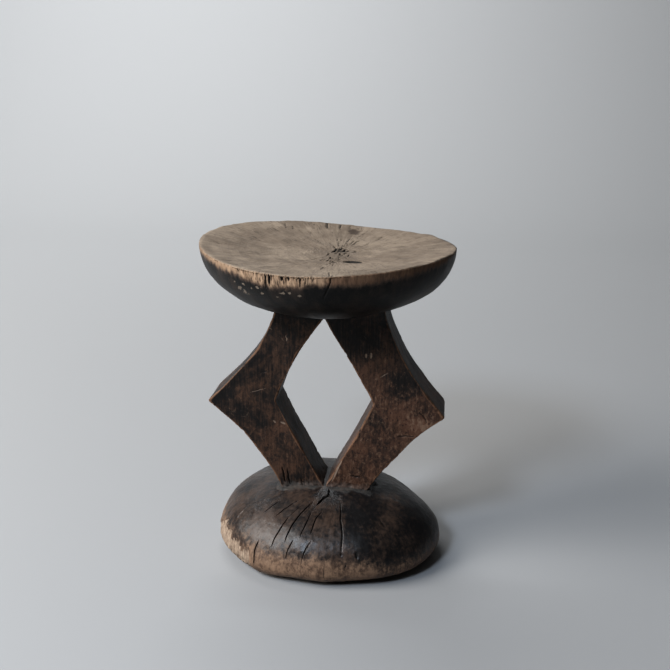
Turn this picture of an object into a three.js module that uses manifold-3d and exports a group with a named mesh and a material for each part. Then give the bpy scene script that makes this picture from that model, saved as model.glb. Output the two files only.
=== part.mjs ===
// A low stool carved from one log: a dished round seat on two elbowed legs, over a domed round base.
// The legs are the two halves of one upright slab, and enclose a lozenge-shaped window between them.
// Millimetres, +Z up. X runs across the slab and Y through it. The origin is on the floor, on the line
// where the two legs meet.
import * as THREE from "three";
import { mergeVertices } from "three/addons/utils/BufferGeometryUtils.js";
import Module from "manifold-3d";

const wasm = await Module();
wasm.setup();

// ---- driving dimensions ----

// Seat: a bowl, hollowed on top. Its rim is neither quite round nor quite level.
const RIM_HEIGHT = 288.5; // mean height of the rim above the floor
const SEAT_RADIUS = 110.6;
const SEAT_CENTRE = [0.9, 0.6];
const SEAT_DEPTH = 54.5; // from the rim to the lowest point of the underside
const DISH_DEPTH = 11;
const RIM_LAND = 3; // width of the blunt top of the rim
const RIM_ROUND = 1.2; // drop of the land's outer corner, which is worn
const DISH_CURVE = 1.7; // exponent of the dish: 1 is a cone, 2 a parabola
const SEAT_LOBES = [
  { lobes: 2, size: 3.6, toward: -20 },
  { lobes: 3, size: 3.7, toward: 35 },
];
const RIM_LIFTS = [
  { lobes: 1, size: 1.7, toward: 174 },
  { lobes: 2, size: 2.6, toward: -37 },
];
const BOWL_FULLNESS = { across: 2.8, down: 2.05 }; // superellipse exponents of the underside

// Base: a dome on a flat foot, rounded under at its edge.
const BASE_RADIUS = 99.3;
const BASE_CENTRE = [-2.1, 4.5];
const BASE_HEIGHT = 69;
const BASE_EDGE_HEIGHT = 15.6; // height at which the base is widest
const FOOT_RADIUS = 72; // of the flat that stands on the floor
const BASE_LOBES = [
  { lobes: 2, size: 7.4, toward: -26 },
  { lobes: 3, size: 3.6, toward: -15 },
];
const DOME_FULLNESS = { across: 2.2, down: 2.07 };

// Legs: each turns out at an elbow. A bow is how far a limb's edge hollows in from its chord.
const SLAB_THICKNESS = 41;
const EDGE_SOFTENING = 1.6;
const LEGS = {
  left_leg: {
    side: -1,
    neck: 44, // from the middle to the outer edge, just under the seat
    elbow: [106, 147.5], // outer corner: distance from the middle, height
    crook: [44, 149.5], // inner corner
    ankle: 39.4, // from the middle to the outer edge, on the base
    bows: { outerTop: 7, outerFoot: 6.6, innerTop: 4, innerFoot: 0.6 },
  },
  right_leg: {
    side: 1,
    neck: 54,
    elbow: [107.9, 139],
    crook: [44, 150],
    ankle: 39.2,
    bows: { outerTop: 6.6, outerFoot: 5, innerTop: 0.8, innerFoot: 1 },
  },
};

const APEX_DROP = 6; // from the lowest point of the seat down to the top of the window
const FOOT_DROP = { outer: 4, inner: 2 }; // from the top of the dome down to where a leg's edge meets it
const BURIED = 26; // how far a leg's blank runs on into the seat and into the base before it is cut

const PARTING = 0.3; // gap left between two members where they meet
const ROUND_STEPS = 56;

const WOOD = {
  seat: { color: 0x6b5c4f, roughness: 0.72, metalness: 0 },
  leg: { color: 0x33241d, roughness: 0.55, metalness: 0 },
  base: { color: 0x3f3029, roughness: 0.5, metalness: 0 },
};

// ---- shared shapes ----

// Sum of cosine waves round a circle: each has a number of lobes, a size and a direction in degrees.
function waves(list, angle) {
  const rad = THREE.MathUtils.degToRad;
  return list.reduce(
    (sum, w) => sum + w.size * Math.cos(w.lobes * (angle - rad(w.toward))),
    0,
  );
}

// Radius left at a share of the way down a superellipse whose radius is 1 at share 0 and 0 at share 1.
function superellipse(share, { across, down }) {
  return Math.pow(Math.max(0, 1 - Math.pow(share, down)), 1 / across);
}

// Turns a profile of {r, z, lift} about the vertical. Radii grow by the lobes in proportion, and lift is
// the share of the rim's own rise and fall that a point takes.
function turned(profile, { radius, centre, lobes, lifts }) {
  const points = profile.map((p) => new THREE.Vector2(p.r, p.z));
  const geometry = new THREE.LatheGeometry(points, ROUND_STEPS);
  geometry.rotateX(Math.PI / 2);
  const place = geometry.getAttribute("position");
  for (let i = 0; i < place.count; i++) {
    const { r, z, lift } = profile[i % profile.length];
    const angle = Math.atan2(place.getY(i), place.getX(i));
    const out = r * (1 + waves(lobes, angle) / radius);
    place.setXYZ(
      i,
      centre[0] + out * Math.cos(angle),
      centre[1] + out * Math.sin(angle),
      z + lift * waves(lifts, angle),
    );
  }
  return geometry;
}

// ---- seat ----

// The underside runs from its lowest point out to the rim, then the dish runs back to the middle.
// grow makes the same seat larger all over on its underside, for cutting the legs.
function seatGeometry(grow = 0) {
  const underside = RIM_HEIGHT - SEAT_DEPTH - grow;
  const radius = SEAT_RADIUS + grow;
  const dishFloor = RIM_HEIGHT - DISH_DEPTH;
  const bowlSteps = 14;
  const dishSteps = 9;
  const profile = [];
  for (let i = bowlSteps; i >= 1; i--) {
    const share = 1 - Math.pow(1 - i / bowlSteps, 1.6);
    profile.push({
      r: radius * superellipse(share, BOWL_FULLNESS),
      z: RIM_HEIGHT + (underside - RIM_HEIGHT) * share,
      lift: 1 - share,
    });
  }
  profile.push({ r: radius, z: RIM_HEIGHT - RIM_ROUND, lift: 1 });
  profile.push({ r: radius - RIM_ROUND, z: RIM_HEIGHT, lift: 1 });
  const inner = SEAT_RADIUS - RIM_LAND;
  for (let i = dishSteps; i >= 0; i--) {
    const share = i / dishSteps;
    const rise = Math.pow(share, DISH_CURVE);
    profile.push({ r: inner * share, z: dishFloor + DISH_DEPTH * rise, lift: rise });
  }
  return turned(profile, {
    radius: SEAT_RADIUS,
    centre: SEAT_CENTRE,
    lobes: SEAT_LOBES,
    lifts: RIM_LIFTS,
  });
}

// ---- base ----

// The flat foot, a quarter round out to the widest point, then the dome up to the top.
function baseGeometry(grow = 0) {
  const top = BASE_HEIGHT + grow;
  const radius = BASE_RADIUS + grow;
  const edgeSteps = 5;
  const domeSteps = 12;
  const profile = [{ r: 0, z: 0, lift: 0 }];
  for (let i = 0; i <= edgeSteps; i++) {
    const turn = (i / edgeSteps) * (Math.PI / 2);
    profile.push({
      r: FOOT_RADIUS + (radius - FOOT_RADIUS) * Math.sin(turn),
      z: BASE_EDGE_HEIGHT * (1 - Math.cos(turn)),
      lift: 0,
    });
  }
  for (let i = 1; i <= domeSteps; i++) {
    const share = Math.sin(((i / domeSteps) * Math.PI) / 2);
    profile.push({
      r: radius * superellipse(share, DOME_FULLNESS),
      z: BASE_EDGE_HEIGHT + (top - BASE_EDGE_HEIGHT) * share,
      lift: 0,
    });
  }
  return turned(profile, {
    radius: BASE_RADIUS,
    centre: BASE_CENTRE,
    lobes: BASE_LOBES,
    lifts: [],
  });
}

// ---- legs ----

// Draws an outline's next edge as a shallow curve that leaves its chord by bow, to the left of travel.
// On these outlines that is into the leg, so every edge is hollowed.
function bowedTo(outline, [x, z], bow) {
  const from = outline.currentPoint.clone();
  const to = new THREE.Vector2(x, z);
  const along = to.clone().sub(from);
  const left = new THREE.Vector2(-along.y, along.x).normalize();
  const mid = from.clone().add(to).multiplyScalar(0.5);
  mid.addScaledVector(left, 2 * bow);
  outline.quadraticCurveTo(mid.x, mid.y, to.x, to.y);
}

// The leg's front outline, drawn for a leg on the +X side and mirrored for the other.
function legOutline({ neck, elbow, crook, ankle, bows }) {
  const seatLine = RIM_HEIGHT - SEAT_DEPTH;
  const middle = PARTING / 2;
  const outline = new THREE.Shape();
  outline.moveTo(middle, BASE_HEIGHT - BURIED);
  outline.lineTo(ankle, BASE_HEIGHT - BURIED);
  outline.lineTo(ankle, BASE_HEIGHT - FOOT_DROP.outer);
  bowedTo(outline, elbow, bows.outerFoot);
  bowedTo(outline, [neck, seatLine], bows.outerTop);
  outline.lineTo(neck - BURIED / 3, seatLine + BURIED);
  outline.lineTo(middle, seatLine + BURIED);
  outline.lineTo(middle, seatLine - APEX_DROP);
  bowedTo(outline, crook, bows.innerTop);
  bowedTo(outline, [middle, BASE_HEIGHT - FOOT_DROP.inner], bows.innerFoot);
  return outline;
}

// The outline sawn through the slab, softened along its edges.
function legBlank(leg) {
  const geometry = new THREE.ExtrudeGeometry(legOutline(leg), {
    depth: SLAB_THICKNESS - 2 * EDGE_SOFTENING,
    bevelEnabled: true,
    bevelThickness: EDGE_SOFTENING,
    bevelSize: EDGE_SOFTENING,
    bevelOffset: -EDGE_SOFTENING,
    bevelSegments: 1,
    curveSegments: 9,
  });
  geometry.translate(0, 0, EDGE_SOFTENING - SLAB_THICKNESS / 2);
  geometry.rotateX(Math.PI / 2);
  return geometry;
}

// ---- cutting ----

function toSolid(geometry) {
  const bare = new THREE.BufferGeometry();
  bare.setAttribute("position", geometry.getAttribute("position"));
  bare.setIndex(geometry.index);
  const merged = mergeVertices(bare, 1e-3);
  return new wasm.Manifold(
    new wasm.Mesh({
      numProp: 3,
      vertProperties: new Float32Array(merged.getAttribute("position").array),
      triVerts: new Uint32Array(merged.index.array),
    }),
  );
}

function toGeometry(solid) {
  const { vertProperties, triVerts } = solid.getMesh();
  const geometry = new THREE.BufferGeometry();
  geometry.setAttribute("position", new THREE.BufferAttribute(vertProperties, 3));
  geometry.setIndex(new THREE.BufferAttribute(triVerts, 1));
  geometry.computeVertexNormals();
  return geometry;
}

// Turns every face round, for a shape that has just been mirrored.
function turnFaces(geometry) {
  const flat = geometry.index ? geometry.toNonIndexed() : geometry;
  const place = flat.getAttribute("position");
  const a = new THREE.Vector3();
  const b = new THREE.Vector3();
  for (let i = 0; i < place.count; i += 3) {
    a.fromBufferAttribute(place, i + 1);
    b.fromBufferAttribute(place, i + 2);
    place.setXYZ(i + 1, b.x, b.y, b.z);
    place.setXYZ(i + 2, a.x, a.y, a.z);
  }
  return flat;
}

// ---- assembly ----

function member(name, geometry, wood) {
  const mesh = new THREE.Mesh(geometry, new THREE.MeshStandardMaterial(wood));
  mesh.name = name;
  return mesh;
}

const seatCutter = toSolid(seatGeometry(PARTING));
const baseCutter = toSolid(baseGeometry(PARTING));

function legMember(name) {
  const leg = LEGS[name];
  const blank = legBlank(leg).scale(leg.side, 1, 1);
  const solid = toSolid(leg.side < 0 ? turnFaces(blank) : blank);
  const cut = solid.subtract(seatCutter).subtract(baseCutter);
  return member(name, toGeometry(cut), WOOD.leg);
}

const stool = new THREE.Group();
stool.add(member("seat", seatGeometry(), WOOD.seat));
stool.add(member("base", baseGeometry(), WOOD.base));
for (const name of Object.keys(LEGS)) stool.add(legMember(name));

export default stool;
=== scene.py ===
# %% [markdown]
# # A stool carved from one log
#
# The real stool is a single block of wood. Its carver cut a short log, hollowed the top into a seat, cut
# the middle away to an upright slab and the slab to two bent legs, and left the foot as a dome.
#
# A plain solid model of the stool comes first. It has the right sizes, but its surface is smooth and flat.
# This notebook makes the surface that a hand would feel: drying cracks, a splintered rim, worn edges and
# tool marks are real shape, and grain, polish and dust are procedural materials.

# %% Load the plain model
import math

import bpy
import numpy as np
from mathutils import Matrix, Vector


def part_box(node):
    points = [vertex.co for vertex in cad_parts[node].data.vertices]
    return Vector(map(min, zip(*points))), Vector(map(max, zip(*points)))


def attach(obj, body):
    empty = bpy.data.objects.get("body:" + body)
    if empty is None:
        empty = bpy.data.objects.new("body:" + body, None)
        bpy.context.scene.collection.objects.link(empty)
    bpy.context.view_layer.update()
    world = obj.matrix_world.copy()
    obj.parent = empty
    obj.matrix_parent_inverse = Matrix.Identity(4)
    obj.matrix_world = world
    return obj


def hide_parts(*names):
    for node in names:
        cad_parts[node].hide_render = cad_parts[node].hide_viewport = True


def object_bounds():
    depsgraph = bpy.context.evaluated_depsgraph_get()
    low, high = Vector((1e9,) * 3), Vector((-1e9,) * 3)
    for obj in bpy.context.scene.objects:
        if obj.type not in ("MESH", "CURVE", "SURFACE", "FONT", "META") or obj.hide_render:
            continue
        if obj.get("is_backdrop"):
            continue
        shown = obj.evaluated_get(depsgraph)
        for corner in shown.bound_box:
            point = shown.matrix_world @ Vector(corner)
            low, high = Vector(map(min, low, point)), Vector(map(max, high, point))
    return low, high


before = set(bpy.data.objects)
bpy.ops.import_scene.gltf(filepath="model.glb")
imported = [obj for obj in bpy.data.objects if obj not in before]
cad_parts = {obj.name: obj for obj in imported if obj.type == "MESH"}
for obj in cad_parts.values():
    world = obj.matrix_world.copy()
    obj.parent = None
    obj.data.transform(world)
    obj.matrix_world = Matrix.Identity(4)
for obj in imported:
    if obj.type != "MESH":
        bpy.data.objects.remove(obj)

# %% [markdown]
# ## Units and sizes
#
# Blender works in metres, but a carver thinks in millimetres. Every length below is in millimetres, and
# becomes metres once, where a mesh is made. The box round the plain model is kept, because the finished
# stool has to stay inside it. Sizes that the plain model already knows are read from it.

MM = 0.001
cad_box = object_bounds()


def box_mm(node):
    """A plain part's lowest and highest corners, in millimetres."""
    return [np.array(corner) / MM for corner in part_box(node)]


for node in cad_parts:
    low, high = box_mm(node)
    print(f"{node:10s} from {low.round(1)} to {high.round(1)} mm")

# %% [markdown]
# ## Camera, floor and light
#
# The camera comes first, so that every piece can be looked at as it is made. It stands a little to the
# stool's right and looks down at it by 17 degrees, from 0.9 m away. A long lens keeps the shape calm.
#
# The main light is one big soft window on the left, which leaves the right side in shade. A small cool
# window in front lays a sheen on the base. The floor curves up far behind, so that it has no edge. One
# light brightens the left of that sweep, and one hangs over the floor's front end, which would be black from
# behind. The sky is pale to the camera but lights the stool very little, and the look adds some contrast.

# %% Camera, floor and light
CAMERA_PLACE = (104.6, -893.9, 482)
CAMERA_DOWN = 17  # degrees below level
CAMERA_TURN = 6.2  # degrees to the left of straight ahead
LENS = 56.4
FLOOR_REACH = 2800  # from the stool to the floor's sides and front
FLOOR_GREY = 0.28
SWEEP_START, SWEEP_RADIUS, SWEEP_TOP = 1400, 1100, 4000
DAYLIGHT = (0.95, 0.975, 1)


def add_camera():
    """Puts the camera in its place, turned down and to the left."""
    data = bpy.data.cameras.new("camera")
    data.lens = LENS
    camera = bpy.data.objects.new("camera", data)
    camera.location = Vector(CAMERA_PLACE) * MM
    camera.rotation_euler = (math.radians(90 - CAMERA_DOWN), 0, math.radians(CAMERA_TURN))
    bpy.context.collection.objects.link(camera)
    bpy.context.scene.camera = camera


def add_window(name, place, size, watts, colour, look_at=(0, 0, 130), spread=180):
    """A soft rectangular light at place, turned to face look_at, that shines over spread degrees."""
    data = bpy.data.lights.new(name, "AREA")
    data.shape = "RECTANGLE"
    data.size, data.size_y = (side * MM for side in size)
    data.energy = watts
    data.color = colour
    data.spread = math.radians(spread)
    light = bpy.data.objects.new(name, data)
    light.location = Vector(place) * MM
    aim = Vector(look_at) - Vector(place)
    light.rotation_euler = aim.to_track_quat("-Z", "Y").to_euler()
    bpy.context.collection.objects.link(light)


def add_floor():
    """A plain floor that sweeps up behind the stool: a strip, flat, then curved, then upright."""
    turn = np.linspace(0, math.pi / 2, 25)
    depth = np.concatenate([[-FLOOR_REACH], SWEEP_START + SWEEP_RADIUS * np.sin(turn)])
    height = np.concatenate([[0], SWEEP_RADIUS * (1 - np.cos(turn))])
    depth = np.append(depth, depth[-1])
    height = np.append(height, SWEEP_TOP)
    strip = np.stack([np.full(len(depth), -FLOOR_REACH), depth, height], axis=-1)
    points = np.concatenate([strip, strip * (-1, 1, 1)]) * MM
    count = len(strip)
    faces = [(i, count + i, count + i + 1, i + 1) for i in range(count - 1)]
    mesh = bpy.data.meshes.new("floor")
    mesh.from_pydata(points.tolist(), [], faces)
    mesh.shade_smooth()
    finish = bpy.data.materials.new("floor")
    finish.use_nodes = True
    shader = finish.node_tree.nodes["Principled BSDF"]
    shader.inputs["Base Color"].default_value = (FLOOR_GREY, FLOOR_GREY, FLOOR_GREY, 1)
    shader.inputs["Roughness"].default_value = 0.8
    mesh.materials.append(finish)
    floor = bpy.data.objects.new("floor", mesh)
    bpy.context.collection.objects.link(floor)
    floor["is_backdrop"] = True


def add_sky(seen, cast):
    """A pale surround that the camera sees at one brightness, and that lights the stool at another."""
    world = bpy.data.worlds.new("sky")
    world.use_nodes = True
    tree = world.node_tree
    back = tree.nodes["Background"]
    back.inputs["Color"].default_value = (*DAYLIGHT, 1)
    path = tree.nodes.new("ShaderNodeLightPath")
    brightness = tree.nodes.new("ShaderNodeMapRange")
    brightness.inputs["To Min"].default_value = cast
    brightness.inputs["To Max"].default_value = seen
    tree.links.new(path.outputs["Is Camera Ray"], brightness.inputs["Value"])
    tree.links.new(brightness.outputs["Result"], back.inputs["Strength"])
    bpy.context.scene.world = world


add_camera()
add_floor()
add_sky(seen=0.55, cast=0.05)
add_window("window", (-1500, -700, 1250), (1200, 1200), 54, (1, 0.98, 0.95))
add_window("cool window", (-640, -1330, 1400), (360, 360), 24, (0.74, 0.85, 1), look_at=(-15, -79, 39))
add_window("sweep light", (-900, 1300, 2200), (1800, 500), 74, DAYLIGHT, look_at=(-1000, 2500, 600))
add_window("floor light", (0, -2600, 2500), (5600, 1600), 45, (1, 1, 1), look_at=(0, -2601, 0), spread=80)
bpy.context.scene.view_settings.view_transform = "Standard"
bpy.context.scene.view_settings.look = "Medium High Contrast"

# %% [markdown]
# ## Unevenness
#
# Nothing on a hand-carved stool is quite straight or round. Two formulas give all of its unevenness. Slow
# waves round a circle make the rim and base less than round. A random ripple, which is a heap of cosine
# waves in random directions, makes dents and fibres. Both work on whole arrays of points at once, which
# is much faster than a loop, and a fixed seed gives the same stool each time.

# %% Unevenness
def waves(angle, terms):
    """Sum of cosines round a circle, from terms of (lobes, size, direction in degrees)."""
    return sum(size * np.cos(lobes * (angle - np.radians(toward))) for lobes, size, toward in terms)


def ripple(points, size, seed, stretch=(1, 1, 1), count=28):
    """A smooth random field about 1 high.

    It is the sum of cos(2 pi (point . direction) / length + phase) over random directions, with lengths
    from 0.7 to 1.6 of size. A stretch of 8 along an axis makes the pattern 8 times longer there.
    """
    rng = np.random.default_rng(seed)
    direction = rng.normal(size=(count, 3))
    direction /= np.linalg.norm(direction, axis=1, keepdims=True)
    length = size * rng.uniform(0.7, 1.6, count)
    phase = rng.uniform(0, 2 * np.pi, count)
    along = (points / np.array(stretch)) @ (direction / length[:, None]).T
    return np.cos(2 * np.pi * along + phase).sum(axis=-1) * math.sqrt(2 / count)


def tool_marks(points, size, seed):
    """Shallow hollows between soft ridges, as a gouge leaves them: minus the height of a ripple."""
    return -np.abs(ripple(points, size, seed))


def fade(value, start, end):
    """0 up to start, 1 past end, and a smooth S between: 3 t^2 - 2 t^3."""
    share = np.clip((value - start) / (end - start), 0, 1)
    return share * share * (3 - 2 * share)


def degrees_from(angle, place):
    """Signed difference in degrees between angles in radians and a place in degrees, from -180 to 180."""
    return (np.degrees(angle) - place + 180) % 360 - 180


# %% [markdown]
# ## Cracks
#
# As a log dries it shrinks more round its rings than across them, so it splits along lines from its pith.
# A crack could be painted on, but light would not catch its lip. Here each is a thin V cut into the mesh:
# every point finds its distance to the crack's line, and sinks if it is near. The materials also colour
# the cracks near black, as painted shade inside them.

# %% Cracks
def groove(points, path, width, depth):
    """How far each point sinks into a crack: depth on its line, 0 from half its width away.

    The half width follows the square root of a sine along the path, so both ends close to nothing. Only
    points in the box round the path are worked on.
    """
    path = np.asarray(path, float)
    near = ((points > path.min(axis=0) - width) & (points < path.max(axis=0) + width)).all(axis=-1)
    spots = points[near]
    nearness = np.zeros(len(spots))
    pieces = len(path) - 1
    for i in range(pieces):
        start, run = path[i], path[i + 1] - path[i]
        share = np.clip((spots - start) @ run / (run @ run), 0, 1)
        away = np.linalg.norm(spots - start - share[:, None] * run, axis=-1)
        opening = width / 2 * np.sqrt(np.sin(np.pi * (i + share) / pieces) + 0.02)
        nearness = np.maximum(nearness, 1 - away / opening)
    sunk = np.zeros(points.shape[:-1])
    sunk[near] = depth * nearness
    return sunk


def wander(corners, sideways, seed, steps=14):
    """A crack's line in plan: through its corners, plus a random walk pinned at both ends."""
    corners = np.array(corners, float)
    rng = np.random.default_rng(seed)
    share = np.linspace(0, 1, steps)
    walk = np.cumsum(rng.normal(size=steps))
    walk -= walk[0] + (walk[-1] - walk[0]) * share
    along = np.linspace(0, 1, len(corners))
    line = np.stack([np.interp(share, along, side) for side in corners.T], axis=-1)
    run = corners[-1] - corners[0]
    across = np.array([-run[1], run[0]]) / np.linalg.norm(run)
    return line + (sideways * walk / math.sqrt(steps))[:, None] * across


def sink_all(points, cracks, height_at, sideways, seed):
    """How far points sink into cracks of (corners in plan, width, depth) on a surface of known height."""
    sunk = np.zeros(points.shape[:-1])
    for number, (corners, width, depth) in enumerate(cracks):
        line = wander(corners, sideways, seed + number)
        path = np.column_stack([line, height_at(line[:, 0], line[:, 1])])
        sunk = np.maximum(sunk, groove(points, path, width, depth))
    return sunk


# %% [markdown]
# ## Rings into a mesh
#
# Every piece here is a stack of closed rings, from its lowest point up and over to its last. A lathe or a
# sculpting tool could make the rough form, but a stack of rings lets a formula place each point. Rings have
# more points where cracks are, so that a crack half a millimetre wide is still sharp.

# %% Rings into a mesh
def crowded(count, places, closeness, spread):
    """count angles round a circle, packed closeness times tighter within spread degrees of places."""
    fine = np.radians(np.arange(0, 360, 0.05))
    density = np.ones_like(fine)
    for place in places:
        density += closeness * np.exp(-((degrees_from(fine, place) / spread) ** 2))
    share = np.concatenate([[0], np.cumsum(density)]) / density.sum()
    return np.interp(np.arange(count) / count, share, np.append(fine, 2 * np.pi))


def outward(rings):
    """Unit normals of a stack of rings: the way round crossed with the way up the stack."""
    around = np.roll(rings, -1, axis=1) - np.roll(rings, 1, axis=1)
    normal = np.cross(around, np.gradient(rings, axis=0))
    return normal / np.linalg.norm(normal, axis=-1, keepdims=True)


def add_piece(name, node, material, rings, marks):
    """Makes a closed mesh from rings (rings, points, 3), whose ends close on their middle points.

    marks holds named arrays (rings, points) that the material reads as attributes.
    """
    count, around = rings.shape[:2]
    ends = np.array([rings[0].mean(axis=0), rings[-1].mean(axis=0)])
    points = np.concatenate([rings.reshape(-1, 3), ends])
    here = np.arange(around)
    beyond = np.roll(here, -1)
    step = np.arange(count - 1)[:, None] * around
    quads = [step + here, step + beyond, step + around + beyond, step + around + here]
    quads = np.stack(quads, axis=-1).reshape(-1, 4)
    last = (count - 1) * around
    foot = np.stack([beyond, here, np.full(around, count * around)], axis=-1)
    cap = np.stack([last + here, last + beyond, np.full(around, count * around + 1)], axis=-1)
    mesh = bpy.data.meshes.new(name)
    mesh.from_pydata((points * MM).tolist(), [], quads.tolist() + foot.tolist() + cap.tolist())
    mesh.shade_smooth()
    for mark, values in marks.items():
        whole = np.concatenate([values.ravel(), [values[0].mean(), values[-1].mean()]])
        mesh.attributes.new(mark, "FLOAT", "POINT").data.foreach_set("value", whole.astype(np.float32))
    mesh.materials.append(material)
    piece = bpy.data.objects.new(name, mesh)
    bpy.context.collection.objects.link(piece)
    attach(piece, "root")
    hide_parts(node)
    triangles = 2 * len(quads) + len(foot) + len(cap)
    low, high = points.min(axis=0).round(1), points.max(axis=0).round(1)
    print(f"{name}: {triangles} triangles, {low} to {high} mm")


# %% [markdown]
# ## Shader sums
#
# A material here is mostly arithmetic on patterns, and in the node editor every sum is a node. This small
# class wraps a socket, so that a * b + c written in Python adds the Math nodes for it. Colours and vectors
# have their own methods, because a Math node would turn them grey.

# %% Shader sums
class Socket:
    """A shader socket that takes part in sums, or a bare node tree when it holds no socket yet."""

    def __init__(self, tree, link=None):
        self.tree = tree
        self.link = link

    def node(self, kind, settings=None, inputs=None, output=0):
        """Adds any node: its settings first, then a value or link for each input, by name or number."""
        made = self.tree.nodes.new(kind)
        for name, value in (settings or {}).items():
            if name == "stops":
                fill_ramp(made.color_ramp, value)
            else:
                setattr(made, name, value)
        for place, value in (inputs or {}).items():
            if isinstance(value, Socket):
                self.tree.links.new(value.link, made.inputs[place])
            else:
                made.inputs[place].default_value = value
        return Socket(self.tree, made.outputs[output])

    def maths(self, operation, first, second=0.0):
        """Adds a Math node on two numbers, each a socket or a plain number."""
        return self.node("ShaderNodeMath", {"operation": operation}, {0: first, 1: second})

    def __add__(self, other):
        return self.maths("ADD", self, other)

    __radd__ = __add__

    def __sub__(self, other):
        return self.maths("SUBTRACT", self, other)

    def __rsub__(self, other):
        return self.maths("SUBTRACT", other, self)

    def __mul__(self, other):
        return self.maths("MULTIPLY", self, other)

    __rmul__ = __mul__

    def __truediv__(self, other):
        return self.maths("DIVIDE", self, other)

    def __abs__(self):
        return self.maths("ABSOLUTE", self)

    def most(self, other):
        return self.maths("MAXIMUM", self, other)

    def fade(self, start, end):
        """0 up to start, 1 past end, and a smooth S between."""
        inputs = {"Value": self, "From Min": start, "From Max": end}
        return self.node("ShaderNodeMapRange", {"interpolation_type": "SMOOTHSTEP"}, inputs)

    def vector(self, operation, other=(0, 0, 0), output=0):
        """Adds a Vector Math node on this vector and another."""
        return self.node("ShaderNodeVectorMath", {"operation": operation}, {0: self, 1: other}, output)

    def noise(self, size, detail, roughness=0.55, bend=0.0):
        """Random pattern from 0 to 1 whose lumps are size millimetres along each axis of this vector."""
        scaled = self.vector("DIVIDE", size if isinstance(size, tuple) else (size,) * 3)
        inputs = {"Vector": scaled, "Scale": 1, "Detail": detail, "Roughness": roughness}
        return self.node("ShaderNodeTexNoise", {}, {**inputs, "Distortion": bend})

    def bands(self, size, detail):
        """Random bands across this number, about size millimetres wide."""
        inputs = {"W": self / size, "Scale": 1, "Detail": detail}
        return self.node("ShaderNodeTexNoise", {"noise_dimensions": "1D"}, inputs)

    def tint(self, low, high):
        """A colour that is low where this number is 0 and high where it is 1."""
        low, high = (c if isinstance(c, Socket) else (*c, 1) for c in (low, high))
        settings = {"data_type": "RGBA", "clamp_factor": True}
        return self.node("ShaderNodeMix", settings, {0: self, 6: low, 7: high}, 2)

    def mark(self, name):
        """A number that the mesh carries at each point."""
        return self.node("ShaderNodeAttribute", {"attribute_name": name}, {}, 2)


def fill_ramp(ramp, stops):
    """Gives a colour ramp its stops, each a place from 0 to 1 and a colour."""
    while len(ramp.elements) < len(stops):
        ramp.elements.new(1)
    for element, (place, colour) in zip(ramp.elements, stops):
        element.position, element.color = place, (*colour, 1)


# %% [markdown]
# ## One log's grain
#
# All of the stool is cut from one log, so one pattern in space serves every piece. Distance from the pith
# gives the rings. They show as circles on the seat and as upright stripes on the legs, with no work on
# either. Fibres are noise drawn out along the log, and rays are noise drawn out along lines from the pith.

# %% One log's grain
class Grain:
    """The log's patterns at each point of a material, with the pith upright at the place given."""

    def __init__(self, tree, pith):
        nodes = Socket(tree)
        metres = nodes.node("ShaderNodeTexCoord", output=3)
        self.place = metres.vector("MULTIPLY", (1000, 1000, 1000))
        flat = self.place.vector("MULTIPLY", (1, 1, 0)).vector("SUBTRACT", (*pith, 0))
        self.reach = flat.vector("LENGTH", output=1)
        growth = self.reach + 9 * self.place.noise((60, 60, 200), 2)
        self.rings = growth.bands(2.4, 3)
        self.way = flat.vector("NORMALIZE")
        self.nodes = nodes
        self.rays = self.spokes(34, 45, 3)
        self.hairs = self.spokes(17, 45, 2)
        self.dashes = self.spokes(75, 10, 1)
        self.fibres = self.place.noise((1.3, 1.3, 26), 3, 0.6)
        self.smudges = self.place.noise((13, 13, 22), 4, 0.62, 0.4)
        self.specks = self.place.noise((2.2, 2.2, 3.5), 3, 0.65)

    def marks(self, names):
        """The mesh's marks of these names, which have spaces between them."""
        return [self.reach.mark(name) for name in names.split()]

    def spokes(self, number, length, detail):
        """Noise drawn out along lines from the pith: about number of them round it, each length long."""
        along = self.nodes.node("ShaderNodeCombineXYZ", inputs={"Z": self.reach / length})
        return self.way.vector("MULTIPLY", (number,) * 3).vector("ADD", along).noise(1, detail)


SHINE = 0.22  # below a varnish's 0.5: old wax scatters more than it mirrors
BASE_SHINE = 0.32  # feet and hands have polished the base more


def new_material(name, pith, shine=SHINE):
    """A material, its main shader node, and the log's grain in it."""
    material = bpy.data.materials.new(name)
    material.use_nodes = True
    shader = material.node_tree.nodes["Principled BSDF"]
    shader.inputs["Specular IOR Level"].default_value = shine
    return material, shader, Grain(material.node_tree, pith)


def coat(shader, colour, roughness, height, depth):
    """Plugs a colour, a roughness and a bump, whose height of 1 stands depth millimetres high."""
    tree = shader.id_data
    tree.links.new(colour.link, shader.inputs["Base Color"])
    tree.links.new(roughness.link, shader.inputs["Roughness"])
    bump = colour.node("ShaderNodeBump", {}, {"Height": height, "Distance": depth * MM})
    tree.links.new(bump.link, shader.inputs["Normal"])


# %% [markdown]
# ## Seat: its form
#
# The seat is a shallow bowl of end grain, dished on top. Its section is three runs: the underside, which is
# a superellipse, a blunt rim, and the dish, whose depth follows a power of the distance from the middle.
# Each ring is the section's point carried round, swollen by the waves that make the rim uneven.

# %% Seat: its form
RIM_HEIGHT = 288.5
SEAT_CENTRE = np.array([0.9, 0.6])
SEAT_RADIUS = 110.6
SEAT_DEPTH = RIM_HEIGHT - box_mm("seat")[0][2]
SEAT_LOBES = [(2, 3.6, -20), (3, 3.7, 35)]
RIM_LIFTS = [(1, 1.7, 174), (2, 2.6, -37)]
FULL_ACROSS, FULL_DOWN = 2.8, 2.05  # superellipse exponents of the underside
UNDER_KNEE = 0.93  # share of the radius past which rings are even in height
RIM_LAND = 3
RIM_ROUND = 1.2
DISH_DEPTH = 11
DISH_CURVE = 1.7


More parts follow.
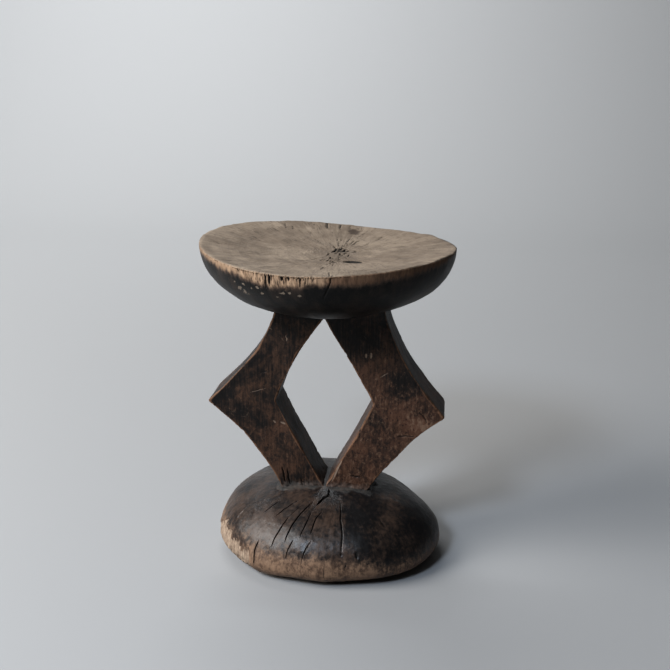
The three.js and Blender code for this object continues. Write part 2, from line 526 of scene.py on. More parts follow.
def on_rim(degrees, drop):
    """A point on the seat's outside: its direction in degrees and how far below the rim it is."""
    angle = np.radians(degrees)
    share = np.clip(drop / SEAT_DEPTH, 0, 1)
    radius = (SEAT_RADIUS + waves(angle, SEAT_LOBES)) * (1 - share**FULL_DOWN) ** (1 / FULL_ACROSS)
    across = SEAT_CENTRE + radius * np.array([np.cos(angle), np.sin(angle)])
    return np.array([*across, RIM_HEIGHT - drop + (1 - share) * waves(angle, RIM_LIFTS)])


def dish_height(x, y):
    """Height of the dish above the floor, at a place in plan."""
    x, y = x - SEAT_CENTRE[0], y - SEAT_CENTRE[1]
    angle = np.arctan2(y, x)
    share = np.hypot(x, y) / (SEAT_RADIUS - RIM_LAND + waves(angle, SEAT_LOBES))
    rise = np.minimum(share, 1) ** DISH_CURVE
    return RIM_HEIGHT - DISH_DEPTH + rise * (DISH_DEPTH + waves(angle, RIM_LIFTS))


def seat_section():
    """The section's radii, heights, and share of the rim's lift, and the row where the rim begins."""
    inner = np.linspace(0.03, UNDER_KNEE, 27)
    outer = np.linspace((1 - UNDER_KNEE**FULL_ACROSS) ** (1 / FULL_DOWN), 0.01, 32)[1:]
    share = np.concatenate([(1 - inner**FULL_ACROSS) ** (1 / FULL_DOWN), outer])
    under = np.stack([SEAT_RADIUS * (1 - share**FULL_DOWN) ** (1 / FULL_ACROSS),
                      RIM_HEIGHT - SEAT_DEPTH * share, 1 - share])
    turn = np.linspace(0.15, 1, 4) * np.pi / 2
    rim = np.stack([SEAT_RADIUS - RIM_ROUND * (1 - np.cos(turn)),
                    RIM_HEIGHT - RIM_ROUND * (1 - np.sin(turn)), np.ones(4)])
    across = np.concatenate([np.linspace(1, 0.4, 33)[:-1], np.linspace(0.4, 0.008, 58)])
    rise = across**DISH_CURVE
    dish = np.stack([(SEAT_RADIUS - RIM_LAND) * across, RIM_HEIGHT - DISH_DEPTH * (1 - rise), rise])
    return np.concatenate([under, rim, dish], axis=1), under.shape[1]


section, rim_row = seat_section()
seat_angles = crowded(640, [-125, -100], 1.3, 26)
swell = 1 + waves(seat_angles, SEAT_LOBES) / SEAT_RADIUS
seat_rings = np.stack([
    SEAT_CENTRE[0] + section[0][:, None] * swell * np.cos(seat_angles),
    SEAT_CENTRE[1] + section[0][:, None] * swell * np.sin(seat_angles),
    section[1][:, None] + section[2][:, None] * waves(seat_angles, RIM_LIFTS),
], axis=-1)
print("seat: rings, points in each:", seat_rings.shape[:2])

# %% [markdown]
# ## Seat: cracks and wear
#
# The log's pith is near the middle of the dish, where the wood has broken up into a knot of short black
# checks. More checks run in from the back of the rim. At the front left the rim has been knocked for years,
# and its bare fibres stand up in splinters. One long crack runs over the rim and down the front.

# %% Seat: cracks and wear
PITH = np.array([9.0, 25.0])
SECOND_PITH = np.array([9.0, -13.0])
# The rubbed band round the rim, as (direction in degrees, width).
BAND = [(-200, 0), (-185, 4), (-150, 5.5), (-130, 7), (-117, 11), (-107, 12), (-100, 10), (-90, 8),
        (-70, 10), (-50, 8), (-25, 5), (-5, 3), (20, 0)]
SPLINTERED = (-124, -89)  # directions between which the band is splintered
# The long crack, as (direction, how far below the rim), and notches, as (direction, length, width).
LONG_CRACK = [(-82, -0.5), (-82.4, 5), (-83, 9), (-84.6, 16), (-86, 25)]
NOTCHES = [(-127, 4, 2.2), (-111, 13, 2.4), (-109, 11, 1.8), (-103, 5, 2.2), (-100, 4.5, 2.0), (-95, 9, 1.4)]


def star(centre, count, inner, outer, seed):
    """Short cracks round a centre, each from an inner to an outer distance, 1.6 times that front to back."""
    rng = np.random.default_rng(seed)
    turn = np.linspace(0, 2 * np.pi, count, endpoint=False) + rng.uniform(-0.3, 0.3, count)
    way = np.stack([np.cos(turn), 1.6 * np.sin(turn)], axis=-1)
    return [(centre + w * rng.uniform(*inner), centre + w * rng.uniform(*outer)) for w in way]


def pits(centre, count, spread, seed):
    """Ragged little holes near a centre, each 2 to 8 mm long and lying roughly front to back."""
    rng = np.random.default_rng(seed)
    made = []
    for _ in range(count):
        place = rng.normal(size=2) * spread
        turn = math.pi / 2 + 0.55 * rng.normal()
        run = rng.uniform(1, 4) * np.array([math.cos(turn), math.sin(turn)])
        line = (centre + place - run, centre + place + run)
        made.append((line, rng.uniform(1.1, 2.3), rng.uniform(1.2, 2.2)))
    return made


def dish_cracks():
    """Every crack in the dish, as (corners in plan, width, depth)."""
    cracks = pits(PITH, 46, (6.5, 9), 4) + pits(SECOND_PITH, 14, (3.5, 7), 5)
    cracks += [(line, 0.7, 0.8) for line in star(PITH, 30, (8, 22), (17, 34), 6)]
    cracks += [(line, 0.7, 0.8) for line in star(SECOND_PITH, 11, (3, 6), (8, 17), 7)]
    cracks += [
        ([(8, 23.5), (11, 23), (15, 24)], 6, 3.6),
        ([(18, -15), (24, -18), (32, -21)], 11, 5), ([(18, 46), (24, 60)], 1.1, 1.3),
        ([(19, 67), (28, 86)], 0.9, 1.1), ([(36, 55), (45, 76)], 0.9, 1.1),
        ([(28, 44), (38, 58)], 0.9, 1.1), ([(-11.5, 104), (-9, 86)], 1.4, 2.0),
        ([(1, 104), (4, 86)], 1.1, 1.5), ([(11, 103), (12, 92)], 0.8, 1.0),
        ([(-24, 100), (-21, 81)], 0.8, 1.0), ([(-50, 88), (-47, 75)], 0.9, 1.1),
        ([(-43, 86), (-40, 75)], 0.7, 0.9), ([(15.5, -110), (12, -84)], 1.0, 1.4),
        ([(-24, -45), (-10, -17)], 0.7, 0.8), ([(2, -63), (3, -37)], 0.8, 0.9),
        ([(-30, 2), (-78, -12)], 0.6, 0.7), ([(48, 20), (92, 30)], 0.6, 0.7),
    ]
    return cracks


def sink_outside(points):
    """How far the outside's points sink: one long crack, the notches and a run of splinter gaps."""
    rng = np.random.default_rng(8)
    paths = [(LONG_CRACK, 1.1, 2.4)]
    paths += [([(place, -0.5), (place + 0.4, 3), (place, length)], width, 2.0)
              for place, length, width in NOTCHES]
    for place in rng.uniform(*SPLINTERED, 22):
        length = rng.uniform(4, 11)
        paths.append(([(place, -0.5), (place + rng.normal() * 0.4, length)], rng.uniform(0.6, 1.1), 0.8))
    sunk = np.zeros(points.shape[:-1])
    for spots, width, depth in paths:
        path = [on_rim(place, drop) for place, drop in spots]
        sunk = np.maximum(sunk, groove(points, path, width, depth))
    return sunk


rows = np.arange(len(seat_rings))[:, None]
seat_direction = degrees_from(seat_angles, -90) - 90
below_rim = np.where(rows <= rim_row + 1, RIM_HEIGHT + waves(seat_angles, RIM_LIFTS) - seat_rings[..., 2], 0)
jag = 0.6 * ripple(seat_rings, 5, 10, (1, 1, 4))
band_width = np.interp(seat_direction, *zip(*BAND))
band = 1 - fade(below_rim + jag, band_width - 6, band_width + 5)
band = band * (rows <= rim_row + 2) * fade(band_width, 0, 2)
fresh = (1 - fade(seat_direction, -90, -78)) * np.ones_like(band)
start, end = SPLINTERED
splinters = band * fade(seat_direction, start - 6, start) * (1 - fade(seat_direction, end - 3, end + 3))
dish_share = fade(rows, rim_row, rim_row + 2.5)
sunk = np.where(rows > rim_row, sink_all(seat_rings, dish_cracks(), dish_height, 0.7, 40), 0)
sunk = np.maximum(sunk, np.where(rows <= rim_row + 6, sink_outside(seat_rings), 0))

rise = 0.28 * ripple(seat_rings, 55, 12) + 0.2 * tool_marks(seat_rings, 30, 13) * (1 - dish_share)
rise += dish_share * (0.22 * ripple(seat_rings, 18, 14) + 0.05 * ripple(seat_rings, 3, 15))
rise += splinters * (0.22 * ripple(seat_rings, 2.0, 11, (1, 1, 9)) - 0.2)
rise += band * 0.12 * ripple(seat_rings, 3, 16, (1, 1, 6))
seat_shape = seat_rings + outward(seat_rings) * (rise - sunk)[..., None]
print("seat: deepest crack", sunk.max().round(2), "mm")

# %% [markdown]
# ## Seat: its finish
#
# The dish is bare end grain, gone grey-brown and matt. Its outside is nearly black with smoke, hands and
# wax, and shines softly. Where the rim is splintered, bare tan wood shows between dark fibres, and its cut
# gaps, like every crack, are painted near black as shade. Colours come from the log's grain, and the mesh's
# own marks say where each finish is.

# %% Seat: its finish
def seat_finish():
    material, shader, grain = new_material("seat_wood", (9, 12))
    dish, band, fresh, crack, chip, knot, torn = grain.marks("dish band fresh crack chip knot torn")

    patches = 0.5 * grain.place.noise(38, 3) + 0.25 * grain.place.noise(6, 4, 0.65) + 0.25 * grain.rays
    top = patches.fade(0.38, 0.62).tint((0.145, 0.11, 0.08), (0.236, 0.186, 0.138))
    top = (grain.rings.fade(0.5, 0.75) * 0.2).tint(top, (0.11, 0.083, 0.065))
    near = 1 - grain.reach.fade(14, 58)
    sparse = (grain.place.noise(20, 2) + 0.2 * near).fade(0.38, 0.6)
    dashes = (1 - (grain.dashes - 0.06 * near).fade(0.27, 0.37)) * sparse
    top = (dashes * 0.85).tint(top, (0.05, 0.036, 0.027))
    hair = 1 - abs(grain.hairs - 0.5).fade(0.0, 0.018)
    hair = hair * grain.place.noise(14, 2).fade(0.42, 0.58)
    top = (hair * 0.85).tint(top, (0.05, 0.036, 0.027))
    heart = 1 - (grain.reach + 9 * grain.specks).fade(8, 30)
    top = (heart * 0.4).tint(top, (0.085, 0.065, 0.05))
    top = (knot * 0.85).tint(top, (0.05, 0.034, 0.024))

    patina = grain.smudges.fade(0.42, 0.66).tint((0.004, 0.0036, 0.0033), (0.019, 0.0135, 0.0105))
    chips = (chip + 1.4 * (grain.specks - 0.5) + 0.8 * (grain.fibres - 0.5)).fade(0.5, 0.8)
    patina = (chips * 0.7).tint(patina, (0.19, 0.15, 0.115))
    streaks = 0.5 * grain.fibres + 0.5 * grain.place.noise((5, 5, 12), 4, 0.6)
    streaks = ((streaks - 0.49) * (0.5 + 0.7 * torn)).fade(-0.12, 0.12)
    tan = streaks.tint((0.15, 0.096, 0.061), (0.325, 0.222, 0.146))
    gaps = (torn * (1 - grain.fibres.fade(0.38, 0.5))) * 0.8
    tan = gaps.tint(tan, (0.04, 0.026, 0.018))
    dark = streaks.tint((0.06, 0.035, 0.022), (0.17, 0.1, 0.062))
    rubbed = (fresh + 0.5 * (grain.specks - 0.5)).fade(0.3, 0.7).tint(dark, tan)
    edge = band + 0.7 * (grain.smudges - 0.5) + 0.7 * (grain.specks - 0.5)
    side = edge.fade(0.1, 0.6).tint(patina, (0.055, 0.036, 0.026))
    edge = edge.fade(0.4, 1.0)
    side = edge.tint(side, rubbed)

    colour = dish.tint(side, top)
    # painted shade: cracks, pits, notches and splinter gaps coloured near black, as shade inside them
    colour = crack.tint(colour, (0.009, 0.007, 0.005))
    roughness = 0.46 + 0.28 * dish.most(edge) + 0.16 * (grain.smudges - 0.5)
    height = 0.5 * grain.rays * dish + 0.35 * grain.rings * dish + 0.5 * grain.fibres * (1 - dish)
    height = height + 0.4 * grain.specks
    coat(shader, colour, roughness, height, 0.3)
    return material


# Chips in the seat's outside, as (direction in degrees, how far below the rim, size).
CHIPS = [(-129, 19, 3.4), (-126, 22, 3.6), (-125, 14, 2.4), (-116, 14, 2.8), (-114, 19, 2), (-103, 16, 2.4),
         (-100, 15, 1.8), (-95, 17, 2.2), (-120, 16, 1.4), (-106, 20, 1.4), (-131, 14, 1.4)]
CHIP_MIDDLE = -113  # the direction in which the chips are thickest
KNOT = np.array([16.5, 85.0])


def chipped(points, direction, drop):
    """1 in each chip, 0 well away from them all, and up to 0.25 between them, where specks show."""
    aside = abs(direction - CHIP_MIDDLE)
    near = 0.25 * (1 - fade(aside, 14, 22)) * fade(drop, 6, 12) * (1 - fade(drop, 18, 27))
    ragged = np.maximum(0.6, 1 + 0.3 * ripple(points, 2.4, 18))
    for degrees, below, size in CHIPS:
        away = np.linalg.norm((points - on_rim(degrees, below)) * (0.8, 0.8, 1.4), axis=-1) * ragged
        near = np.maximum(near, 1 - fade(away, size * 0.4, size))
    return near


knot_away = np.hypot((seat_rings[..., 0] - KNOT[0]) / 6, (seat_rings[..., 1] - KNOT[1]) / 8)
marks = {
    "dish": dish_share * np.ones_like(band),
    "band": band,
    "fresh": fresh,
    # how deep each point sits in a crack, which the material paints near black as shade
    "crack": fade(sunk, 0.05, 0.55),
    "chip": chipped(seat_rings, seat_direction, below_rim) * (rows < rim_row),
    "torn": splinters,
    "knot": (1 - fade(knot_away + 0.12 * ripple(seat_rings, 5, 17), 0.7, 1.1)) * dish_share,
}
add_piece("carved_seat", "seat", seat_finish(), seat_shape, marks)

# %% [markdown]
# ## Base: its form
#
# The base is the foot of the log, rounded to a dome. Its section is a flat foot, a quarter round out to the
# widest place, and a superellipse up to the top. It is only roughly round, like the log that it was.

# %% Base: its form
BASE_HEIGHT = box_mm("base")[1][2]
BASE_CENTRE = np.array([-2.1, 4.5])
BASE_RADIUS = 99.3
EDGE_HEIGHT = 15.6
FOOT_RADIUS = 72
BASE_LOBES = [(2, 7.4, -26), (3, 3.6, -15)]
DOME_ACROSS, DOME_DOWN = 2.2, 2.07  # superellipse exponents of the dome
SPARSE_RADIUS = 36  # the legs hide much of the dome inside this, so it has fewer rings


def dome_height(x, y):
    """Height of the dome's surface at a place in plan."""
    x, y = x - BASE_CENTRE[0], y - BASE_CENTRE[1]
    share = np.hypot(x, y) / (BASE_RADIUS + waves(np.arctan2(y, x), BASE_LOBES))
    climb = (1 - np.minimum(share, 1) ** DOME_ACROSS) ** (1 / DOME_DOWN)
    return EDGE_HEIGHT + (BASE_HEIGHT - EDGE_HEIGHT) * climb


def base_section():
    """The section's radii and heights, from the middle of the foot to the top of the dome."""
    foot = np.stack([np.linspace(4, FOOT_RADIUS, 6)[:-1], np.zeros(5)])
    turn = np.linspace(0, np.pi / 2, 24)
    edge = np.stack([FOOT_RADIUS + (BASE_RADIUS - FOOT_RADIUS) * np.sin(turn),
                     EDGE_HEIGHT * (1 - np.cos(turn))])
    climb = np.linspace(0, 1, 52)[1:] * 0.72
    low = np.stack([BASE_RADIUS * (1 - climb**DOME_DOWN) ** (1 / DOME_ACROSS), climb])
    across = np.concatenate([np.linspace(low[0, -1], SPARSE_RADIUS, 56)[1:],
                             np.linspace(SPARSE_RADIUS, 2, 12)[1:]])
    high = np.stack([across, (1 - (across / BASE_RADIUS) ** DOME_ACROSS) ** (1 / DOME_DOWN)])
    dome = np.concatenate([low, high], axis=1)
    dome[1] = EDGE_HEIGHT + (BASE_HEIGHT - EDGE_HEIGHT) * dome[1]
    return np.concatenate([foot, edge, dome], axis=1)


section = base_section()
base_angles = crowded(660, [-135, -112, -90], 2.4, 20)
swell = 1 + waves(base_angles, BASE_LOBES) / BASE_RADIUS
base_rings = np.stack([
    BASE_CENTRE[0] + section[0][:, None] * swell * np.cos(base_angles),
    BASE_CENTRE[1] + section[0][:, None] * swell * np.sin(base_angles),
    section[1][:, None] * np.ones_like(base_angles),
], axis=-1)
print("base: rings, points in each:", base_rings.shape[:2])

# %% [markdown]
# ## Base: cracks, a chipped edge and the lip round the legs
#
# Drying cracks fan out over the front of the dome, and three cross its back. They are listed in plan,
# because they give the stool its face. At the lower left a piece of the edge has split away and shows
# bare, stringy wood. Where the legs come down, the carver's last cuts left a low lip that holds pale dust.

# %% Base: cracks, a chipped edge and the lip round the legs
BASE_CRACKS = [
    ([(5, -24), (5, -34), (1, -36), (-2, -42), (-4, -45)], 2.2, 3.4),
    ([(-8, -41), (-14, -50), (-20, -59), (-24, -66), (-27, -72), (-29, -76)], 1.2, 2.6),
    ([(-21, -76), (-25, -80), (-27, -83)], 1.0, 1.6),
    ([(-22, -40), (-30, -46), (-35, -49), (-41, -54)], 1.1, 1.8),
    ([(-39, -38), (-46, -43), (-52, -48)], 0.9, 1.4),
    ([(-28, -56), (-32, -63), (-35, -68), (-39, -73), (-41, -76)], 1.1, 2.0),
    ([(2, -51), (-2, -59), (-4, -64), (-6, -72)], 1.1, 1.8),
    ([(-4, -77), (-10, -82), (-13, -86)], 0.9, 1.4),
    ([(-8, -53), (-12, -66), (-15, -74)], 0.9, 1.8),
    ([(17, -42), (19, -60), (22, -72), (22, -84)], 1.2, 2.6),
    ([(27, -85), (24, -87)], 0.8, 1.0),
    ([(46, -46), (56, -55), (64, -61)], 0.7, 0.8),
    ([(-54, -69), (-57, -72), (-57, -76)], 1.6, 2.4),
    ([(34, -80), (36, -82)], 2.6, 1.6),
    ([(-62, -30), (-72, -38), (-80, -44)], 0.8, 1.0),
    ([(-16, -44), (-26, -54), (-31, -57)], 0.7, 0.9),
    ([(6, -88), (4, -94)], 0.8, 0.9),
    ([(-30, 40), (-62, 66)], 1.2, 2.0),
    ([(4, 48), (10, 90)], 1.4, 2.4),
    ([(44, 30), (78, 46)], 1.0, 1.5),
]
LEG_REACH = 38  # half the width of the two feet
LIP_WIDTH = 5
LIP_LOWEST = 40
# The top of the patch that has split away, as (direction in degrees, height).
LEFT_BORDER = [(-180, 24), (-168, 28), (-158, 36), (-148, 33), (-142, 27), (-134, 26), (-129, 22), (-127, 0)]


def split_share(angle, height, points):
    """1 on the part of the edge that has split away, below a jagged border, and 0 off it."""
    degrees = degrees_from(angle, -150) - 150
    jag = 1.6 * ripple(points, 8, 21, (1, 1, 3.5)) + 1.4 * ripple(points, 2.6, 28, (1, 1, 3))
    top = np.interp(degrees, *zip(*LEFT_BORDER), left=0)
    return (1 - fade(height + jag, top - 5, top + 1)) * fade(height + 0.5 * jag, 2, 6) * (top > 6)


half_slab = box_mm("left_leg")[1][1]
base_height = base_rings[..., 2]
off_legs = np.hypot(np.maximum(abs(base_rings[..., 0]) - LEG_REACH, 0),
                    np.maximum(abs(base_rings[..., 1]) - half_slab, 0))
split = split_share(base_angles, base_height, base_rings)
above_foot = fade(base_height, 0.3, 4)
off_legs = off_legs + 1.2 * ripple(base_rings, 12, 22)
lip = (1 - fade(off_legs, LIP_WIDTH - 1, LIP_WIDTH + 2)) * (base_height > LIP_LOWEST)
sunk = sink_all(base_rings, BASE_CRACKS, dome_height, 0.6, 60)

rise = 0.55 * ripple(base_rings, 60, 23) + 0.16 * tool_marks(base_rings, 30, 24)
rise += 0.05 * ripple(base_rings, 6, 25)
rise += split * (0.35 * ripple(base_rings, 2.4, 26, (1, 1, 8)) - 1.3)
rise -= (1 - fade(base_height, 3, 12)) * 0.3 * np.abs(ripple(base_rings, 9, 27))
base_shape = base_rings + outward(base_rings) * (rise * above_foot + 0.7 * lip - sunk)[..., None]
base_shape[..., 2] = np.maximum(base_shape[..., 2], 0)
print("base: lowest point", base_shape[..., 2].min(), "mm, deepest crack", sunk.max().round(2), "mm")

# %% [markdown]
# ## Base: its finish
#
# The top of the dome is dark and smooth, with a cool sheen from handling. Brown wood shows through where
# feet and floors have rubbed it, most of all in a band round the lower edge. Painted shade is in the
# colour too: the lower left is a little lighter and the right shows less brown, as if lit from the left.

# %% Base: its finish
def base_finish():
    material, shader, grain = new_material("base_wood", (14, -12), BASE_SHINE)
    split, crack, dust, worn, shade = grain.marks("split crack dust worn shade")

    fine = grain.place.noise(4, 5, 0.7, 0.4)
    mottle = 0.45 * grain.place.noise(34, 3) + 0.42 * fine + 0.13 * grain.rays
    # painted shade: lighter low on the left and darker on the right, as the light from the left falls
    mottle = mottle + 0.055 * (shade - 0.5)
    colour = mottle.fade(0.42, 0.62).tint((0.0085, 0.0078, 0.008), (0.052, 0.034, 0.025))
    dashes = (1 - grain.dashes.fade(0.3, 0.4)) * grain.smudges.fade(0.42, 0.58)
    colour = (dashes * 0.6).tint(colour, (0.009, 0.007, 0.006))
    # brown where worn, with painted shade taking some of it away on the right
    rubbed = (worn + 0.7 * (grain.smudges - 0.5) + 0.8 * (fine - 0.5)).fade(0.25, 0.85)
    brown = 0.35 * fine + 0.25 * grain.specks + 0.4 * grain.smudges
    brown = brown.fade(0.4, 0.6).tint((0.065, 0.038, 0.025), (0.195, 0.124, 0.08))
    colour = rubbed.tint(colour, brown)
    hair = (1 - abs(grain.hairs - 0.5).fade(0.0, 0.012)) * grain.place.noise(22, 2).fade(0.46, 0.58)
    colour = (hair * 0.8).tint(colour, (0.007, 0.006, 0.005))
    bare = (0.6 * grain.fibres + 0.4 * fine).fade(0.36, 0.62).tint((0.17, 0.12, 0.086), (0.31, 0.235, 0.172))
    colour = (split + 0.5 * (grain.specks - 0.5) + 0.3 * (fine - 0.5)).fade(0.25, 0.75).tint(colour, bare)
    powder = (dust + 0.8 * (grain.specks - 0.5)).fade(0.3, 1.0)
    colour = (powder * 0.36).tint(colour, (0.13, 0.125, 0.115))
    # painted shade: the cracks coloured near black
    colour = crack.tint(colour, (0.006, 0.005, 0.004))

    roughness = 0.4 + 0.3 * split.most(powder) + 0.15 * rubbed
    roughness = roughness + 0.4 * (grain.smudges - 0.5) + 0.3 * (fine - 0.5)
    height = 0.5 * grain.specks + 0.4 * grain.rays + 0.6 * grain.fibres * split + 0.8 * fine
    coat(shader, colour, roughness, height, 0.25)
    return material


leftness = fade(-base_rings[..., 0], -50, 80)
# the worn band round the lower edge, reaching higher on the left
worn = 1 - fade(base_height, 12 + 6 * leftness, 42 + 6 * leftness)
marks = {
    "split": split,
    # how deep each point sits in a crack, which the material paints near black as shade
    "crack": fade(sunk, 0.1, 0.7),
    "dust": 0.7 * lip,
    # painted shade: 1 low on the left, fading towards the right and over the top
    "shade": leftness * (1 - 0.6 * fade(base_height, 45, 66)),
    # real wear, minus painted shade that leaves the right less brown
    "worn": worn - 0.3 * fade(base_rings[..., 0], 10, 80),
}
add_piece("carved_base", "base", base_finish(), base_shape, marks)

# %% [markdown]
# ## Legs: their form
#
# The legs are the two halves of one upright slab, with a lozenge window between them. Each leg turns out at
# an elbow, and all its edges hollow in. At every height a leg's section is a rectangle with soft corners,
# so a leg is a stack of such rectangles. Both ends run on inside the seat and the base, so that no seam
# shows between pieces that are really one.

# %% Legs: their form
NECK_HEIGHT = RIM_HEIGHT - SEAT_DEPTH
SUNK_TOP = NECK_HEIGHT + 20  # the legs' ends, inside the seat and the base
SUNK_FOOT = BASE_HEIGHT - 24
ANKLE_HEIGHT = BASE_HEIGHT - 4
WINDOW_TOP = NECK_HEIGHT - 6
WINDOW_FOOT = BASE_HEIGHT - 2
LEGS = {
    "left_leg": {
        "side": -1, "neck": 44, "elbow": (106, 147.5), "crook": (44, 149.5), "ankle": 39.4,
        "bows": (6.6, 7.4, 4, 0.6), "leans": (0, 0.4, 0, 0), "back_out": 0, "back_blunt": 3, "seed": 70,
    },
    "right_leg": {
        "side": 1, "neck": 54, "elbow": (107.9, 139), "crook": (44, 150), "ankle": 39.2,
        "bows": (5, 6.4, 0.8, 1), "leans": (0, 0.2, 0.6, 0), "back_out": 2, "back_blunt": 5, "seed": 90,
    },
}


def bowed(start, end, bow, lean):
    """Points from start to end that leave the chord by bow in the middle, to the left.

    The curve is a parabola 4 s (1 - s), times 1 + lean (2 s - 1), which moves its belly towards the end.
    """
    share = np.linspace(0, 1, 60)[:, None]
    run = np.subtract(end, start)
    left = np.array([-run[1], run[0]]) / np.linalg.norm(run)
    away = 4 * bow * share * (1 - share) * (1 + lean * (2 * share - 1))
    return np.array(start) + share * run + away * left


def leg_edges(leg, heights, blunt):
    """Distances from the middle of a leg's outer and inner edges, with corners blurred over blunt mm."""
    outer = [(leg["ankle"], ANKLE_HEIGHT), leg["elbow"], (leg["neck"], NECK_HEIGHT)]
    inner = [(0, WINDOW_TOP), leg["crook"], (0, WINDOW_FOOT)]
    runs = [*zip(outer, outer[1:]), *zip(inner, inner[1:])]
    curves = [bowed(*run, bow, lean) for run, bow, lean in zip(runs, leg["bows"], leg["leans"])]
    fine = np.arange(SUNK_FOOT - 20, SUNK_TOP + 20, 0.25)
    blur = np.exp(-((np.arange(-60, 61) * 0.25 / blunt) ** 2))
    edges = []
    for curve in (np.concatenate(curves[:2]), np.concatenate(curves[2:])[::-1]):
        straight = np.interp(fine, curve[:, 1], curve[:, 0])
        edges.append(np.interp(heights, fine, np.convolve(straight, blur / blur.sum(), "same")))
    return edges


def soft_rectangle(wide, deep, corner):
    """A rectangle's outline, anticlockwise from above: offsets across and through, and corner turns.

    wide, deep and corner are how many points each side and each corner has.
    """
    parts = []
    corners = [(1, -1, -90), (1, 1, 0), (-1, 1, 90), (-1, -1, 180)]
    for i, (x, y, turn) in enumerate(corners):
        nx, ny, _ = corners[(i + 1) % 4]
        arc = np.radians(turn + np.linspace(0, 90, corner))
        parts.append(np.stack([np.full(corner, x), np.full(corner, y), arc]))
        count = deep if x == nx else wide
        share = np.linspace(0, 1, count + 2)[1:-1]
        parts.append(np.stack([x + (nx - x) * share, y + (ny - y) * share, np.full(count, arc[-1])]))
    return np.concatenate(parts, axis=1)


LEG_ROWS = 320
LEG_POINTS = (84, 32, 6)  # on a face, a side and a corner
CRISP = 1.1  # blur of the front's corners


def leg_rings(leg):
    """The stack of soft rectangles, and each point's distance to its nearest upright edge."""
    crook, elbow = leg["crook"][1], leg["elbow"][1]
    heights = np.linspace(SUNK_FOOT, SUNK_TOP, LEG_ROWS)
    pull = sum(1.8 * np.exp(-(((heights - place) / 6) ** 2)) for place in (crook, elbow))
    share = np.cumsum(1 + pull)
    heights = np.interp(np.linspace(share[0], share[-1], LEG_ROWS), share, heights)
    across, through, turn = soft_rectangle(*LEG_POINTS)
    edge_line = np.stack([np.zeros(LEG_ROWS), np.zeros(LEG_ROWS), heights], axis=-1)
    radius = np.clip(1.3 + 0.5 * ripple(edge_line, 22, leg["seed"]), 0.6, 2.6)[:, None]
    y = (half_slab - radius) * through + radius * np.sin(turn)
    backness = (y / half_slab + 1) / 2
    bulge = leg["back_out"] * np.exp(-(((heights - elbow) / 30) ** 2))
    crisp = leg_edges(leg, heights, CRISP)
    blunt = leg_edges(leg, heights, leg["back_blunt"])
    outer = crisp[0][:, None] + (blunt[0] + bulge - crisp[0])[:, None] * backness
    inner = crisp[1][:, None]
    middle = (outer + inner) / 2
    half = (outer - inner) / 2
    x = middle + (half - radius) * across + radius * np.cos(turn)
    z = heights[:, None] * np.ones_like(x)
    near = np.where(np.abs(through) == 1, (1 - np.abs(across)) * half, (1 - np.abs(through)) * half_slab)
    if leg["side"] < 0:
        x, y, z, near = -x[:, ::-1], y[:, ::-1], z[:, ::-1], near[:, ::-1]
    return np.stack([x, y, z], axis=-1), near


# %% [markdown]
# ## Legs: wear and finish
#
# Hands wear the corners of the legs round and red-brown, while the flat faces keep their smoky black, with
# brown showing through in upright streaks. The elbows stick out furthest, so they are worn most. Near the
# base, the feet are grey with dust and chipped. Up near the seat the legs lose their red-brown, partly to a
# darker patina and partly as painted shadow of the seat.

# %% Legs: wear and finish
def leg_finish():
    material, shader, grain = new_material("leg_wood", (12, -2))
    edge, crack, dust, warm, nick = grain.marks("edge crack dust warm nick")

    blotch = grain.place.noise(31, 3, 0.6, 0.6)
    mottle = grain.place.noise((3.5, 3.5, 5), 5, 0.75, 0.5)
    # warm is low up near the seat: partly a darker patina, partly painted shadow of the seat
    tone = 0.45 * blotch + 0.35 * mottle + 0.2 * grain.fibres + 0.12 * warm
    colour = tone.fade(0.45, 0.64).tint((0.0075, 0.0062, 0.0058), (0.055, 0.03, 0.019))
    red = (warm + 0.9 * (blotch - 0.5) + 0.9 * (mottle - 0.5)).fade(0.2, 0.95)
    colour = (red * 0.75).tint(colour, (0.094, 0.044, 0.027))
    tan = (warm * 0.3 + mottle + 0.5 * (grain.specks - 0.5)).fade(0.66, 0.95)
    colour = (tan * 0.6).tint(colour, (0.19, 0.13, 0.09))
    rubbed = (edge + 0.6 * (grain.specks - 0.5) + 0.5 * (grain.smudges - 0.5)).fade(0.38, 0.85)
    colour = (rubbed * 0.65).tint(colour, (0.18, 0.095, 0.053))
    spots = 1 - grain.specks.fade(0.34, 0.4)
    colour = (spots * 0.75).tint(colour, (0.008, 0.006, 0.005))
    scratch = 1 - abs(grain.place.noise((26, 26, 5), 2) - 0.5).fade(0.0, 0.007)
    scratch = scratch * grain.place.noise(9, 1).fade(0.6, 0.68)
    colour = (scratch * 0.4).tint(colour, (0.16, 0.12, 0.09))
    powder = (dust + 0.9 * (grain.specks - 0.5)).fade(0.4, 1.0)
    colour = (powder * 0.4).tint(colour, (0.13, 0.12, 0.11))
    colour = (nick + 0.6 * (grain.specks - 0.5)).fade(0.3, 0.8).tint(colour, (0.15, 0.11, 0.083))
    # painted shade: gashes coloured near black, and chip dents darkened part way
    colour = crack.tint(colour, (0.006, 0.005, 0.004))

    roughness = 0.48 + 0.2 * powder + 0.3 * (mottle - 0.5) + 0.08 * rubbed
    height = 0.5 * grain.fibres + 0.4 * grain.specks + 0.3 * mottle
    coat(shader, colour, roughness, height, 0.3)
    return material


leg_material = leg_finish()

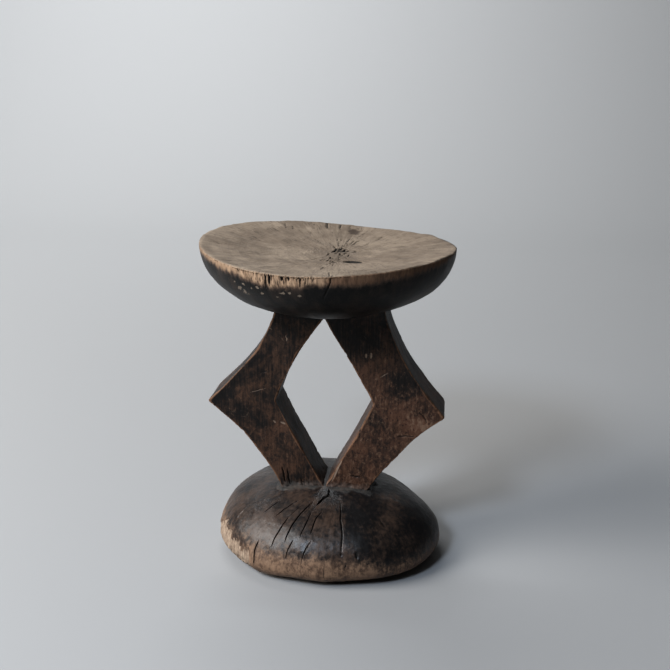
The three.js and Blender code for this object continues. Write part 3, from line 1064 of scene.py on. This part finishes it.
NICKS = [  # pale scratches and chips on the front: (corners across and up, width, depth)
    ([(-67, 157), (-52, 161.5)], 1.4, 0.3),
    ([(-49, 218.5), (-46, 216)], 1.4, 0.3),
    ([(-40.5, 212), (-36, 206.5)], 1.4, 0.3),
    ([(-34, 212), (-33, 206)], 2, 0.4),
    ([(-46.5, 130.5), (-44.5, 128.5)], 2.6, 0.4),
    ([(-40, 129.5), (-35.5, 127.5)], 3, 0.5),
    ([(37, 197), (37, 193)], 2.8, 0.7),
    ([(41.5, 198), (41.2, 192.5)], 2.8, 0.7),
    ([(49, 175), (57, 180)], 2.2, 0.3),
    ([(16, 95), (11, 84), (6.5, 73)], 2.4, 0.5),
]
GASHES = [  # dark cracks on the front: the same
    ([(66, 120), (81, 120)], 1.6, 1.0),
    ([(85, 144), (88, 140), (92, 134)], 1.5, 1.0),
    ([(-39, 86), (-36, 70)], 1.8, 1.6),
    ([(-34, 84), (-31, 68)], 1.6, 1.4),
    ([(-22, 76), (-20, 66)], 1.2, 1.0),
    ([(24, 80), (33, 78)], 1.8, 1.2),
    ([(-58, 176), (-50, 178)], 1.2, 0.7),
]
WORN_PATCH = (88, 131)  # across and up: where palms have worn the right leg
WORN_SIZE = 13


def slab_front(across, up):
    """The slab's front face, which is flat, at places across and up it; up is not used."""
    return np.full_like(across, -half_slab)


def carve_leg(name, leg):
    """Shapes one leg's rings with tool marks, chips, nicks and gashes, and adds it."""
    rings, near = leg_rings(leg)
    seed = leg["seed"]
    elbow = np.array([leg["side"] * leg["elbow"][0], 0, leg["elbow"][1]])
    from_elbow = np.hypot(rings[..., 0] - elbow[0], rings[..., 2] - elbow[2])
    above_base = rings[..., 2] - dome_height(rings[..., 0], rings[..., 1])
    edge = np.exp(-near / 1.1)
    chips = edge * np.clip(ripple(rings, 7, seed + 1) - 1.1, 0, 1)

    front = rings[..., 1] < 0
    flat = rings[..., [0, 2, 1]]
    nicks = np.where(front, sink_all(flat, NICKS, slab_front, 0.5, 110), 0)
    gashes = np.where(front, sink_all(flat, GASHES, slab_front, 0.8, 130), 0)

    rise = 0.22 * ripple(rings, 40, seed + 2) + 0.12 * tool_marks(rings, 20, seed + 3)
    rise += 0.05 * ripple(rings, 2.2, seed + 4, (1, 1, 10)) - 0.6 * chips - nicks - gashes
    ragged = (1 - fade(above_base, 2, 10)) * np.clip(ripple(rings, 5, seed + 5), 0, 2)
    shape = rings + outward(rings) * (rise - 0.4 * ragged)[..., None]
    # 0 low on the leg, 1 up near the seat, where the darkness is partly patina, partly painted shadow of the
    # seat
    high = fade(rings[..., 2] - 12 * leg["side"], 135, 212)
    palm_x, palm_z = WORN_PATCH
    palm = np.hypot(rings[..., 0] - palm_x, (rings[..., 2] - palm_z) * 1.5)
    palm = np.exp(-(palm / WORN_SIZE) ** 2)
    marks = {
        "edge": np.clip(0.7 * edge + 0.5 * np.exp(-from_elbow / 8), 0, 1),
        # gashes, and chip dents at 0.4, which the material paints near black as shade
        "crack": np.maximum(fade(gashes, 0.15, 0.8), 0.4 * fade(chips, 0.3, 1)),
        "nick": np.clip(nicks * 3, 0, 1),
        "dust": 0.8 * (1 - fade(above_base, 1, 14)),
        # red-brown low on the legs and on the palm patch; the dark tops are partly painted shadow of the
        # seat
        "warm": (1 - high) * (0.5 if leg["side"] > 0 else 0.25) + 0.6 * palm,
    }
    add_piece(f"carved_{name}", name, leg_material, shape, marks)


for name, leg in LEGS.items():
    carve_leg(name, leg)

# %% [markdown]
# ## The two boxes
#
# The finished stool must fill the same box as the plain model, give or take a few millimetres.

# %% The two boxes
made_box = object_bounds()
boxes = {"cad": [list(corner) for corner in cad_box], "visual": [list(corner) for corner in made_box]}
for name, (low, high) in boxes.items():
    print(name, "box, mm:", (np.array(low) / MM).round(1), (np.array(high) / MM).round(1))
